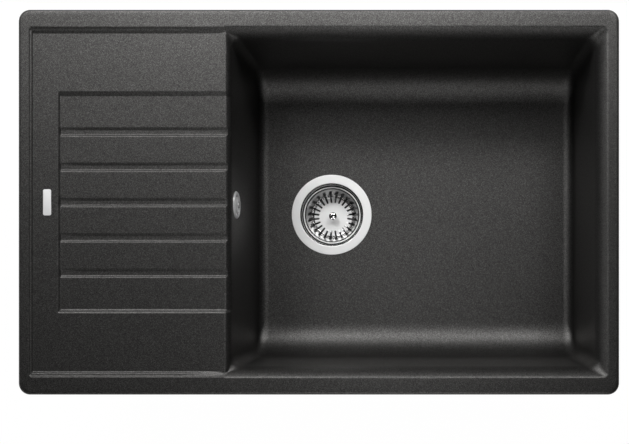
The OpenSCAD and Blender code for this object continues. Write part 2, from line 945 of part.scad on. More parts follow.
basin();
badge_plate();
rim_seal();
drain_flange();
flange_gasket();
waste_body();
waste_tail();
waste_gasket();
clamp_screw();
basket();
basket_seal();
basket_knob();
basket_spindle();
overflow_rosette();
overflow_screw();
overflow_gasket();
overflow_elbow();
overflow_hose();
hose_clips();
claw_front_left();
claw_front_mid();
claw_front_right();
claw_back_left();
claw_back_mid();
claw_back_right();
fixing_screws();
claw_washers();
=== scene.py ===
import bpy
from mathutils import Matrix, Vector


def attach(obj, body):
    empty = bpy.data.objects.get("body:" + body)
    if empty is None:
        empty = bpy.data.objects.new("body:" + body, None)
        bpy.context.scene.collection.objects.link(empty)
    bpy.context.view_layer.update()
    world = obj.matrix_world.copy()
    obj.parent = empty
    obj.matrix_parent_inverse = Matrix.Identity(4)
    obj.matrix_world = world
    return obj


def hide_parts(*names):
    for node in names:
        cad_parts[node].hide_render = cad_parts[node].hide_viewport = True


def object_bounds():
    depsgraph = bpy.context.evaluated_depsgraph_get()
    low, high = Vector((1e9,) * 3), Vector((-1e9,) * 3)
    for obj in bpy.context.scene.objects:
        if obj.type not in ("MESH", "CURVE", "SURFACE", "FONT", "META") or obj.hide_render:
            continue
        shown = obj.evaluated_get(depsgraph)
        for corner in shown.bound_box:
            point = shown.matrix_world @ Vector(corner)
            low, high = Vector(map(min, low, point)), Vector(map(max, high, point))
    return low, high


bl_info = {
    "name": "Moulded Kitchen Sink",
    "version": (1, 0, 0),
    "blender": (4, 5, 0),
    "location": "3D View > Sidebar > Sink",
    "description": "Dresses an inset kitchen sink with its drainer, bowl, strainer and overflow",
    "category": "Object",
}

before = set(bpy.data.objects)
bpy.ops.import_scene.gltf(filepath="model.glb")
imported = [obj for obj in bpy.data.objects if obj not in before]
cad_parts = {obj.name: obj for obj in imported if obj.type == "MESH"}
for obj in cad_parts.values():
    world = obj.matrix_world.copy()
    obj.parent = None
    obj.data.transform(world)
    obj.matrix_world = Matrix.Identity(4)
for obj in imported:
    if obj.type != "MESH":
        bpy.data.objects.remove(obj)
cad_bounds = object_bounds()

import math

import bmesh
import bpy
import numpy as np
from bpy.props import FloatProperty, FloatVectorProperty, IntProperty, PointerProperty
from mathutils import Matrix, Vector

MM = 0.001

# How far the bowl's walls lean, and the slope at which its lip starts
DRAFT = math.radians(5.0)
CREASE = math.radians(40.0)

# Where the grid's lines stop dividing an arc, in degrees
ARC_END = 83.0

# Sizes and places in millimetres, with the counts and ratios that go with them
LIP, DRAINER_LIP, CREASE_ROUND = 41.0, 19.5, 1.6
CORNER_BLEND, CORNER_RUN, STEP_RUN, LIP_RUN, RIB_RUN = 2.2, 14.0, 22.0, 14.0, 40.0
LEFT_CORNER, RIGHT_CORNER, RIGHT_WIDENING, SHELL_CORNER, PANEL_CORNER = 13.0, 6.0, 8.0, 20.0, 6.0
COVE, SEAM = 48.0, 15.5
WALL, FLOOR_T, PANEL_T, RIM_SEAT = 8.4, 10.0, 11.5, 15.9
PANEL_LEFT, PANEL_STEP, STEP_NARROWING = -376.5, 8.0, 1.6
PLANK_LEFT, PLANK_HALF, PLANK_STEP, PLANK_CORNER = -340.0, 144.5, 6.0, 3.0
GROOVE_HALF, GROOVE_SLOPE = 6.0, 3.5
TAP_X, TAP_Y = -171.0, 186.0
TAP_CORE_R, TAP_CORE_TAPER, TAP_CORE_LOW, TAP_CORE_TOP = 18.0, 1.5, -9.0, -3.0
SCREW_HOLE_R, SCREW_HOLE_LOW, SCREW_HOLE_TOP = 2.6, -27.0, -12.0
FIXING_X, FIXING_Y = (-300.0, -20.0, 260.0), 230.0
LUG_HALF, LUG_IN, LUG_OUT, LUG_DROP = 14.0, 13.0, 7.0, 29.5
SEAL_INSET, SEAL_WIDTH, SEAL_DEPTH = 5.5, 4.0, 2.0
BADGE_X, BADGE_W, BADGE_L, BADGE_T, BADGE_PROUD = -353.5, 10.5, 34.0, 1.0, 0.5
BADGE_CORNER, BADGE_GAP = 2.3, 0.15
DRAIN_X, DRAIN_HOLE_R = 3.0, 45.6
DISH_Z, DISH_R, DISH_GAP, DISH_SEAT = -182.0, 57.0, 0.4, 2.2
HUB_R, OPENING_R, WEB_HALF = 11.0, 31.0, 3.5
BASKET_FLOOR, SLOTS, SLOT_IN, SLOT_W = 33.5, 24, 20.2, 2.6
OVERFLOW_Z, OVERFLOW_HOLE_R = -34.0, 14.0
# A corner radius that is all but none, and a place beyond every edge
SHARP, FAR = 0.01, 1000.0

# The picture's size in pixels, the pixel that the camera's axis meets, and the sensor in millimetres
PICTURE_W, PICTURE_H = 629.0, 444.0
AXIS_COLUMN, AXIS_ROW = 438.0, 342.0
SENSOR = 36.0


# Settings


class BasinSettings(bpy.types.PropertyGroup):
    """Sizes of the moulded basin, in metres, and its colour"""

    length: FloatProperty(
        name="Length", description="Length of the rim along X", default=0.780, unit="LENGTH",
    )
    width: FloatProperty(
        name="Width", description="Width of the rim along Y", default=0.500, unit="LENGTH",
    )
    rim: FloatProperty(
        name="Rim height", description="Height of the rim above the worktop", default=0.008,
        unit="LENGTH",
    )
    corner: FloatProperty(
        name="Corner radius", description="Radius of the rim's outer corners", default=0.015,
        unit="LENGTH",
    )
    edge: FloatProperty(
        name="Edge rounding", description="Rounding of the rim's upper edge", default=0.004,
        unit="LENGTH",
    )
    left: FloatProperty(
        name="Bowl left", description="Left end of the bowl's opening", default=-0.122,
        unit="LENGTH",
    )
    right: FloatProperty(
        name="Bowl right", description="Right end of the bowl's opening", default=0.375,
        unit="LENGTH",
    )
    half: FloatProperty(
        name="Bowl half width", description="Half of the opening's width", default=0.2275,
        unit="LENGTH",
    )
    depth: FloatProperty(
        name="Bowl depth", description="Depth of the floor below the rim", default=0.190,
        unit="LENGTH",
    )
    panel_drop: FloatProperty(
        name="Panel drop", description="Depth of the drainer panel below the rim", default=0.0045,
        unit="LENGTH",
    )
    plank_drop: FloatProperty(
        name="Plank drop", description="Drop from the panel to the planks", default=0.0035,
        unit="LENGTH",
    )
    groove_drop: FloatProperty(
        name="Groove depth", description="Depth of the grooves", default=0.0022, unit="LENGTH",
    )
    groove_pitch: FloatProperty(
        name="Groove pitch", description="Distance between grooves", default=0.046, unit="LENGTH",
    )
    grooves: IntProperty(
        name="Grooves", description="Number of grooves between the planks", default=5, min=1, max=9,
    )
    colour: FloatVectorProperty(
        name="Stone colour", description="Colour of the moulded stone",
        default=(0.0026, 0.00255, 0.00245), size=3, min=0, max=1, subtype="COLOR",
    )


class FinishSettings(bpy.types.PropertyGroup):
    """Colours of the fittings"""

    steel: FloatVectorProperty(
        name="Steel", description="Colour of the satin steel", default=(0.88, 0.88, 0.875), size=3,
        min=0, max=1, subtype="COLOR",
    )
    chrome: FloatVectorProperty(
        name="Chrome", description="Colour of the polished chrome", default=(0.90, 0.90, 0.905),
        size=3, min=0, max=1, subtype="COLOR",
    )
    plastic: FloatVectorProperty(
        name="Plastic", description="Colour of the moulded waste fittings",
        default=(0.035, 0.035, 0.038), size=3, min=0, max=1, subtype="COLOR",
    )
    rubber: FloatVectorProperty(
        name="Rubber", description="Colour of the gaskets", default=(0.018, 0.018, 0.018), size=3,
        min=0, max=1, subtype="COLOR",
    )


class StageSettings(bpy.types.PropertyGroup):
    """The camera's place above the sink"""

    camera_x: FloatProperty(
        name="Camera X", description="Where the camera's axis meets the rim", default=0.1547,
        unit="LENGTH",
    )
    camera_y: FloatProperty(
        name="Camera Y", description="Where the camera's axis meets the rim", default=-0.1816,
        unit="LENGTH",
    )
    camera_height: FloatProperty(
        name="Camera height", description="Height of the camera above the rim", default=1.90,
        unit="LENGTH",
    )
    pixel: FloatProperty(
        name="Pixel", description="Size of a pixel of the picture at the rim", default=0.001297,
        unit="LENGTH",
    )


# Shader trees


class Socket:
    """An output of a shader tree that works in Python expressions"""

    def __init__(self, tree, link):
        self.tree = tree
        self.link = link

    def math(self, operation, other, swapped=False):
        """A Math node on this and another value, or the other way round"""
        node = self.tree.nodes.new("ShaderNodeMath")
        node.operation = operation
        places = (1, 0) if swapped else (0, 1)
        self.tree.links.new(self.link, node.inputs[places[0]])
        if isinstance(other, Socket):
            self.tree.links.new(other.link, node.inputs[places[1]])
        else:
            node.inputs[places[1]].default_value = other
        return Socket(self.tree, node.outputs[0])

    def __add__(self, other):
        return self.math("ADD", other)

    __radd__ = __add__

    def __sub__(self, other):
        return self.math("SUBTRACT", other)

    def __rsub__(self, other):
        return self.math("SUBTRACT", other, swapped=True)

    def __mul__(self, other):
        return self.math("MULTIPLY", other)

    __rmul__ = __mul__

    def __gt__(self, other):
        return self.math("GREATER_THAN", other)

    def __lt__(self, other):
        return self.math("LESS_THAN", other)

    def power(self, other):
        """This value to a power"""
        return self.math("POWER", other)

    def ramp(self, low, high):
        """0 below low, 1 above high and a straight line between"""
        node = self.tree.nodes.new("ShaderNodeMapRange")
        self.tree.links.new(self.link, node.inputs["Value"])
        node.inputs["From Min"].default_value = low
        node.inputs["From Max"].default_value = high
        return Socket(self.tree, node.outputs["Result"])


class Shading:
    """A shader tree and the nodes that are added to it"""

    def __init__(self, tree):
        self.tree = tree

    def node(self, kind, settings=None, output=0, **inputs):
        """A node of a type, with its settings set first, then the values or links of its sockets"""
        node = self.tree.nodes.new(kind)
        for key, value in (settings or {}).items():
            setattr(node, key, value)
        for key, value in inputs.items():
            place = node.inputs[key.replace("_", " ")]
            if isinstance(value, Socket):
                self.tree.links.new(value.link, place)
            else:
                place.default_value = value
        return Socket(self.tree, node.outputs[output])

    def split(self, kind, **inputs):
        """All the outputs of a node that divides a vector or a colour"""
        node = self.node(kind, **inputs).link.node
        return [Socket(self.tree, output) for output in node.outputs]


class Finish(Shading):
    """A material and the nodes that make its finish"""

    def __init__(self, name):
        self.material = bpy.data.materials.new(name)
        self.material.use_nodes = True
        super().__init__(self.material.node_tree)
        self.tree.nodes.clear()
        self.output = self.tree.nodes.new("ShaderNodeOutputMaterial")
        self.surface = self.tree.nodes.new("ShaderNodeBsdfPrincipled")
        self.tree.links.new(self.surface.outputs[0], self.output.inputs["Surface"])

    def place(self):
        """Where a point lies on the object"""
        return self.node("ShaderNodeTexCoord", output="Object")

    def stretch(self, vector, scale):
        """A place scaled by its own factor each way"""
        return self.node("ShaderNodeMapping", Vector=vector, Scale=scale)

    def noise(self, vector, scale, detail, roughness):
        """Cloudy noise from 0 to 1"""
        return self.node(
            "ShaderNodeTexNoise", output="Fac",
            Vector=vector, Scale=scale, Detail=detail, Roughness=roughness,
        )

    def cells(self, vector, scale, output="Distance"):
        """Cells of one colour each, or the distance from their middles"""
        return self.node("ShaderNodeTexVoronoi", output=output, Vector=vector, Scale=scale)

    def mix(self, factor, a, b):
        """A colour between two others"""
        node = self.tree.nodes.new("ShaderNodeMix")
        node.data_type = "RGBA"
        for place, value in ((0, factor), (6, a), (7, b)):
            if isinstance(value, Socket):
                self.tree.links.new(value.link, node.inputs[place])
            elif place == 0:
                node.inputs[place].default_value = value
            else:
                node.inputs[place].default_value = (*value, 1.0)
        return Socket(self.tree, node.outputs[2])

    def bump(self, height, strength, distance):
        """A normal that follows a height"""
        return self.node("ShaderNodeBump", Height=height, Strength=strength, Distance=distance)

    def set(self, **inputs):
        """Values or links of the surface's own sockets"""
        for key, value in inputs.items():
            place = self.surface.inputs[key.replace("_", " ")]
            if isinstance(value, Socket):
                self.tree.links.new(value.link, place)
            elif place.type == "RGBA":
                place.default_value = (*value, 1.0)
            else:
                place.default_value = value
        return self.material


# Finishes


def tint(colour, factor):
    """A colour made lighter or darker"""
    return tuple(min(1.0, c * factor) for c in colour)


def moulded_stone(colour):
    """Granite composite: a dark binder full of fine grains, some glinting and some dull"""
    f = Finish("moulded_stone")
    at = f.place()
    fine = f.noise(at, 1900.0, 2.0, 0.6)
    mottle = f.noise(at, 330.0, 3.0, 0.65)
    grain, second, _ = f.split("ShaderNodeSeparateColor", Color=f.cells(at, 1500.0, "Color"))
    glint = grain > 0.80
    dull = grain < 0.24
    pale = second > 0.86
    tone = f.mix(mottle.ramp(0.3, 0.7), tint(colour, 0.4), tint(colour, 0.8))
    tone = f.mix(pale, tone, tint(colour, 5.0))
    tone = f.mix(glint, tone, (0.120, 0.1182, 0.1152))
    tone = f.mix(dull, tone, (0.043, 0.0424, 0.0413))
    skin = fine * 0.5 + mottle * 0.35 + glint * 0.05
    return f.set(
        Base_Color=tone,
        Metallic=glint + dull,
        Roughness=mottle.ramp(0.2, 0.8) * 0.05 + 0.445,
        Specular_IOR_Level=0.86,
        Specular_Tint=(1.0, 0.978, 0.955),
        Normal=f.bump(skin, 0.34, 0.0004),
    )


def satin_steel(name, colour, roughness):
    """Stainless steel with a fine satin grain"""
    f = Finish(name)
    at = f.place()
    lines = f.noise(f.stretch(at, (400.0, 6000.0, 6000.0)), 1.0, 3.0, 0.6)
    cloud = f.noise(at, 45.0, 3.0, 0.6)
    return f.set(
        Base_Color=f.mix(cloud.ramp(0.3, 0.75), tint(colour, 0.95), colour),
        Metallic=1.0,
        Roughness=lines.ramp(0.2, 0.8) * 0.10 + cloud * 0.05 + (roughness - 0.06),
        Normal=f.bump(lines, 0.05, 0.0001),
    )


def turned_steel(name, colour, unshaded_satin_from, unshaded_satin_to):
    """Pressed stainless steel round the drain: satin flats, and steep walls polished and darkened as
    painted shade
    """
    f = Finish(name)
    at = f.place()
    across, along, up = f.split("ShaderNodeSeparateXYZ", Vector=at)
    x = across - DRAIN_X * MM
    radius = (x * x + along * along).power(0.5)
    rings = f.node("ShaderNodeCombineXYZ", X=radius, Y=up)
    lines = f.noise(f.stretch(rings, (5200.0, 2600.0, 1.0)), 1.0, 2.0, 0.6)
    cloud = f.noise(at, 45.0, 3.0, 0.6)
    outer = radius.ramp(unshaded_satin_from * MM, (unshaded_satin_from + 0.6) * MM)
    inner = radius.ramp(unshaded_satin_to * MM, (unshaded_satin_to - 1.5) * MM)
    satin = outer + inner
    # Painted shade: off the satin flats, on the steep walls and in the hollow, the colour drops to 0.42 of
    # itself, standing in for shade and dark reflections
    tone = f.mix(satin, tint(colour, 0.42), f.mix(cloud.ramp(0.3, 0.75), tint(colour, 0.97), colour))
    return f.set(
        Base_Color=tone,
        Metallic=1.0,
        Roughness=satin * 0.30 + lines.ramp(0.2, 0.8) * 0.05 + cloud * 0.04 + 0.14,
        Normal=f.bump(lines, 0.04, 0.0001),
    )


def polished_chrome(name, colour, roughness=0.08, metallic=1.0):
    """Chrome with the faintest orange peel and a few dull spots"""
    f = Finish(name)
    at = f.place()
    cloud = f.noise(at, 60.0, 2.0, 0.5)
    peel = f.noise(at, 420.0, 1.0, 0.5)
    return f.set(
        Base_Color=f.mix(cloud, tint(colour, 0.96), colour),
        Metallic=metallic,
        Roughness=cloud.ramp(0.35, 0.8) * 0.07 + roughness,
        Normal=f.bump(peel, 0.03, 0.0001),
    )


def moulded_plastic(name, colour, roughness=0.45):
    """Moulded polypropylene with a fine sparked texture"""
    f = Finish(name)
    at = f.place()
    spark = f.noise(at, 1400.0, 2.0, 0.6)
    cloud = f.noise(at, 25.0, 2.0, 0.5)
    return f.set(
        Base_Color=f.mix(cloud, tint(colour, 0.85), tint(colour, 1.15)),
        Roughness=cloud * 0.10 + (roughness - 0.05),
        Normal=f.bump(spark, 0.12, 0.0002),
    )


def gasket_rubber(colour):
    """Dull rubber with a dusty bloom"""
    f = Finish("gasket_rubber")
    at = f.place()
    dust = f.noise(at, 240.0, 4.0, 0.7)
    return f.set(
        Base_Color=f.mix(dust.ramp(0.45, 0.8), colour, tint(colour, 2.2)),
        Roughness=dust * 0.15 + 0.62,
        Normal=f.bump(dust, 0.12, 0.0002),
    )


def plated_steel():
    """Zinc-plated pressed steel"""
    f = Finish("plated_steel")
    at = f.place()
    spangle = f.cells(at, 260.0)
    cloud = f.noise(at, 80.0, 3.0, 0.6)
    return f.set(
        Base_Color=f.mix(spangle.ramp(0.1, 0.8), (0.62, 0.63, 0.63), (0.72, 0.73, 0.72)),
        Metallic=1.0,
        Roughness=cloud * 0.16 + 0.30,
        Normal=f.bump(cloud, 0.04, 0.0002),
    )


def badge_satin():
    """The pale satin coat of the bare badge plate"""
    f = Finish("badge_satin")
    at = f.place()
    lines = f.noise(f.stretch(at, (7000.0, 500.0, 7000.0)), 1.0, 2.0, 0.6)
    return f.set(
        Base_Color=f.mix(lines, (0.68, 0.68, 0.68), (0.76, 0.76, 0.76)),
        Metallic=0.0,
        Roughness=lines * 0.08 + 0.34,
        Normal=f.bump(lines, 0.04, 0.0001),
    )


# Mesh helpers


def finished(bm, name, material, body, replaces, sharp=32.0):
    """A piece that rides on a body, smooth but for edges that turn by more than some degrees"""
    bm.normal_update()
    for face in bm.faces:
        face.smooth = True
    limit = math.radians(sharp)
    for edge in bm.edges:
        edge.smooth = len(edge.link_faces) == 2 and edge.calc_face_angle(0.0) < limit
    mesh = bpy.data.meshes.new(name)
    bm.to_mesh(mesh)
    bm.free()
    piece = bpy.data.objects.new(name, mesh)
    bpy.context.scene.collection.objects.link(piece)
    mesh.materials.append(material)
    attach(piece, body)
    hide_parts(*replaces)
    return piece


def turned(profile, centre, steps, closed=True):
    """A solid of revolution about the vertical through a point, from radii and heights in millimetres"""
    bm = bmesh.new()
    points = [bm.verts.new((centre[0] + r * MM, centre[1], centre[2] + z * MM)) for r, z in profile]
    edges = [bm.edges.new((a, b)) for a, b in zip(points, points[1:])]
    if closed:
        edges.append(bm.edges.new((points[-1], points[0])))
    bmesh.ops.spin(
        bm, geom=points + edges, cent=centre, axis=(0, 0, 1), angle=math.tau,
        steps=steps, use_merge=True, use_normal_flip=False, use_duplicate=False,
    )
    bmesh.ops.remove_doubles(bm, verts=bm.verts, dist=1e-6)
    bmesh.ops.recalc_face_normals(bm, faces=bm.faces)
    return bm


def smooth_line(profile, steps):
    """Rounds a profile's corners, from (radius, height, rounding) in millimetres"""
    line = []
    for i, (radius, height, rounding) in enumerate(profile):
        corner = Vector((radius, height))
        if rounding <= 0:
            line.append(tuple(corner))
            continue
        before = Vector(profile[i - 1][:2]) - corner
        after = Vector(profile[(i + 1) % len(profile)][:2]) - corner
        span = min(rounding / math.tan(before.angle(after) / 2), before.length * 0.49, after.length * 0.49)
        start, end = corner + before.normalized() * span, corner + after.normalized() * span
        for k in range(steps + 1):
            t = k / steps
            line.append(tuple(start * (1 - t) ** 2 + corner * (2 * t * (1 - t)) + end * t ** 2))
    return line


def cut(piece, cutters, operation="DIFFERENCE"):
    """Cuts solids out of a piece, or adds them to it, and throws the cutters away"""
    for cutter in cutters:
        change = piece.modifiers.new("cut", "BOOLEAN")
        change.operation = operation
        change.solver = "EXACT"
        change.object = cutter
    bpy.context.view_layer.update()
    graph = bpy.context.evaluated_depsgraph_get()
    mesh = bpy.data.meshes.new_from_object(piece.evaluated_get(graph))
    piece.modifiers.clear()
    old = piece.data
    piece.data = mesh
    bpy.data.meshes.remove(old)
    for cutter in cutters:
        bpy.data.objects.remove(cutter)
    return piece


def loose(bm, name="cutter"):
    """An object that rides on no body, such as a cutter or the floor"""
    mesh = bpy.data.meshes.new(name)
    bm.to_mesh(mesh)
    bm.free()
    piece = bpy.data.objects.new(name, mesh)
    bpy.context.scene.collection.objects.link(piece)
    return piece


def rod(radius, low, high, matrix, steps, top=None):
    """A cylinder, or a cone that ends in another radius, along a place's Z, in millimetres"""
    bm = bmesh.new()
    bmesh.ops.create_cone(
        bm, cap_ends=True, segments=steps, radius1=radius * MM,
        radius2=(radius if top is None else top) * MM, depth=(high - low) * MM,
    )
    bmesh.ops.translate(bm, verts=bm.verts, vec=(0, 0, (low + high) / 2 * MM))
    bmesh.ops.transform(bm, matrix=matrix, verts=bm.verts)
    return bm


def round_edges(bm, edges, radius, segments):
    """Rounds edges to a radius in millimetres"""
    bmesh.ops.bevel(
        bm, geom=edges, offset=radius * MM, segments=segments, profile=0.5, affect="EDGES", material=-1,
    )


def upright_edges(bm):
    """The edges of a block that stand upright"""
    return [e for e in bm.edges if abs(e.verts[0].co.z - e.verts[1].co.z) > 0.5 * MM]


def block(low, high, matrix=None, bevel=0.0):
    """A box between two corners in millimetres, with rounded edges"""
    bm = bmesh.new()
    bmesh.ops.create_cube(bm, size=1.0)
    size = [(b - a) * MM for a, b in zip(low, high)]
    middle = [(b + a) / 2 * MM for a, b in zip(low, high)]
    bmesh.ops.scale(bm, vec=size, verts=bm.verts)
    bmesh.ops.translate(bm, vec=middle, verts=bm.verts)
    if bevel:
        round_edges(bm, bm.edges, bevel, 2)
    if matrix is not None:
        bmesh.ops.transform(bm, matrix=matrix, verts=bm.verts)
    return bm


def joined(parts):
    """One bmesh out of several"""
    whole = bmesh.new()
    for part in parts:
        mesh = bpy.data.meshes.new("part")
        part.to_mesh(mesh)
        part.free()
        whole.from_mesh(mesh)
        bpy.data.meshes.remove(mesh)
    return whole


# The basin's form


def soft(t):
    """0 below 0, 1 above 1 and a soft step between"""
    t = np.clip(t, 0.0, 1.0)
    return t * t * (3 - 2 * t)


def soft_max(a, b, k):
    """The larger of two, blended over k where they meet"""
    h = np.clip(0.5 + 0.5 * (a - b) / k, 0, 1)
    return b + (a - b) * h + k * h * (1 - h)


def reach(r):
    """How far a lip comes in from its crease to the wall below it"""
    return r * (math.cos(DRAFT) - math.sin(CREASE))


def inset(z, lip, top, cove, floor, wall=0.0):
    """How far in from its opening the bowl's surface lies at height z, less a wall's thickness"""
    lip_end = top - lip * (math.cos(CREASE) - math.sin(DRAFT))
    start = floor + cove * (1 - math.sin(DRAFT))
    at_lip = reach(lip) - wall
    deep = at_lip + (lip_end - start) * math.tan(DRAFT) + cove * math.cos(DRAFT)
    turn = np.arccos(np.clip(math.cos(CREASE) - (top - z) / lip, -1, math.cos(CREASE)))
    curve = lip * (np.sin(turn) - math.sin(CREASE))
    straight = at_lip + (lip_end - z) * math.tan(DRAFT)
    foot = deep - cove * np.sin(np.arccos(np.clip(1 - (z - floor) / cove, -1, 1)))
    return np.where((z > lip_end) & (wall == 0.0), curve, np.where(z >= start, straight, foot))


def outside(x, y, left, right, half, r_left, r_right):
    """Distance outside a rounded rectangle"""
    mid = (left + right) / 2
    r = np.where(x < mid, r_left, r_right)
    qx = np.abs(x - mid) - ((right - left) / 2 - r)
    qy = np.abs(y) - (half - r)
    return np.hypot(np.maximum(qx, 0), np.maximum(qy, 0)) + np.minimum(np.maximum(qx, qy), 0) - r


def height_of(x, y, contour, low, high):
    """Height at which the contour passes through each point"""
    a = np.full(x.shape, low)
    b = np.full(x.shape, high)
    for _ in range(34):
        z = (a + b) / 2
        out = contour(x, y, z) > 0
        a = np.where(out, z, a)
        b = np.where(out, b, z)
    return (a + b) / 2


class Form:
    """Heights of the basin's upper and lower surfaces"""

    def __init__(self, s):
        """Takes the basin's settings over in millimetres"""
        self.rim = s.rim / MM
        self.half_l, self.half_w = s.length / MM / 2, s.width / MM / 2
        self.left, self.right, self.bowl_half = s.left / MM, s.right / MM, s.half / MM
        self.floor = self.rim - s.depth / MM
        self.panel = self.rim - s.panel_drop / MM
        self.plank = s.plank_drop / MM
        self.groove = s.groove_drop / MM
        self.edge = s.edge / MM
        self.corner = s.corner / MM
        self.count = s.grooves
        self.pitch = s.groove_pitch / MM

    def left_wall(self, z):
        """Where the bowl's left wall stands at height z"""
        return self.left + inset(z, DRAINER_LIP, self.panel, SEAM, self.floor)

    def bowl_contour(self, x, y, z):
        """Distance outside the bowl at height z"""
        right = self.right - inset(z, LIP, self.rim, SEAM, self.floor)
        half = self.bowl_half - inset(z, LIP, self.rim, COVE, self.floor)
        r_left = SHARP + LEFT_CORNER * soft((self.panel - z) / LEFT_CORNER)
        r_right = RIGHT_CORNER + RIGHT_WIDENING * soft((self.rim - z) / (2 * RIGHT_WIDENING))
        return outside(x, y, self.left_wall(z), right, half, r_left, r_right)

    def panel_contour(self, x, y, z):
        """Distance outside the drainer's end of the opening at height z"""
        half = self.bowl_half - inset(z, LIP, self.rim, COVE, self.floor)
        return outside(x, y, PANEL_LEFT, FAR, half, PANEL_CORNER, SHARP)

    def panel_step(self, x, y):
        """The drainer's sunk panel, with a step in two stages all round"""
        across = (x - PANEL_LEFT) * STEP_NARROWING
        t = -outside(across, y, 0.0, FAR, self.bowl_half, PANEL_CORNER, SHARP) / PANEL_STEP
        outer = 0.34 * soft(t / 0.3)
        middle = 0.18 * np.clip((t - 0.15) / 0.6, 0, 1)
        inner = 0.48 * soft((t - 0.6) / 0.4)
        return self.rim - (self.rim - self.panel) * (outer + middle + inner)

    def crease_round(self, x, y):
        """How much the rounding takes off the opening's edge"""
        away = np.abs(outside(x, y, self.left, self.right, self.bowl_half, SHARP, RIGHT_CORNER))
        return math.tan(CREASE) * np.maximum(0, CREASE_ROUND - away) ** 2 / (4 * CREASE_ROUND)

    def centres(self):
        """The middles of the grooves along Y"""
        return [(i - (self.count - 1) / 2) * self.pitch for i in range(self.count)]

    def plank_edge(self, x, y):
        """Distance outside the field of planks"""
        return outside((x - PLANK_LEFT) * STEP_NARROWING, y, 0.0, FAR, PLANK_HALF, PLANK_CORNER, SHARP)

    def planks(self, x, y):
        """How far the planks lie below the panel"""
        return self.plank * soft(-self.plank_edge(x, y) / PLANK_STEP)

    def grooves(self, x, y):
        """How far the grooves lie below the planks"""
        out = np.zeros(x.shape)
        for c in self.centres():
            out = np.maximum(out, soft((GROOVE_HALF - np.abs(y - c)) / GROOVE_SLOPE))
        return self.groove * out * soft((x - PLANK_LEFT) / PLANK_STEP)

    def upper(self, x, y):
        """Height of the face that shows from above"""
        step = height_of(x, y, self.panel_contour, self.floor + 1, self.rim)
        lip = height_of(x, y, lambda a, b, z: self.left_wall(z) - a, self.floor, self.panel)
        lip = np.where(x <= self.left, self.panel, lip)
        # the drainer: its lip blends with the step at its sides, which turns into two stages further out
        blend = 0.02 + CORNER_BLEND * soft((self.left + 12 - x) / CORNER_RUN)
        drainer = soft_max(step, lip, blend)
        drainer = drainer + (self.panel_step(x, y) - drainer) * soft((self.left - 2 - x) / STEP_RUN)
        # the bowl, which the drainer's lip meets within its left end
        bowl = height_of(x, y, self.bowl_contour, self.floor, self.rim)
        shared = np.where(x < self.left + LIP_RUN, drainer, -FAR)
        z = np.where(x <= self.left, drainer, np.maximum(bowl, shared))
        # the planks and grooves, which run out over the lip
        near = x < self.left + RIB_RUN
        z = z - self.planks(x, y) * soft((z + 20) / 20) * near
        bottom = self.panel - self.planks(x, y) - self.grooves(x, y)
        z = np.where(near & (self.plank_edge(x, y) < 0), np.minimum(z, bottom), z)
        # the outer edge of the rim
        d = -outside(x, y, -self.half_l, self.half_l, self.half_w, self.corner, self.corner)
        r = self.edge
        round_off = r - np.sqrt(np.maximum(0, r * r - (r - np.clip(d, 0, r)) ** 2))
        return np.minimum(z, self.rim) - round_off - self.crease_round(x, y)

    def shell_contour(self, x, y, z):
        """Distance outside the bowl's outer face at height z"""
        floor = self.floor - FLOOR_T
        t = WALL / math.cos(DRAFT)
        left = self.left + inset(z, DRAINER_LIP, self.panel, SEAM + WALL, floor, t)
        right = self.right - inset(z, LIP, self.rim, SEAM + WALL, floor, t)
        half = self.bowl_half - inset(z, LIP, self.rim, COVE + WALL, floor, t)
        return outside(x, y, left, right, half, SHELL_CORNER, SHELL_CORNER)

    def lower(self, x, y):
        """Height of the face that shows from below"""
        slab = self.panel - PANEL_T
        shell = height_of(x, y, self.shell_contour, self.floor - FLOOR_T, 0.0)
        z = np.where(shell < slab, shell, slab)
        within = (np.abs(x) < self.half_l - RIM_SEAT) & (np.abs(y) < self.half_w - RIM_SEAT)
        return np.where(within, z, 0.0)


def spread(*runs):
    """Grid lines from runs of (start, end, count)"""
    lines = []
    for start, end, count in runs:
        lines += list(np.linspace(start, end, count + 1))
    return lines


def arc(r, low, n):
    """Offsets that divide an arc into equal turns, from an angle in degrees up to its end"""
    base = math.sin(math.radians(low))
    return [r * (math.sin(math.radians(a)) - base) for a in np.linspace(low, ARC_END, n + 1)]


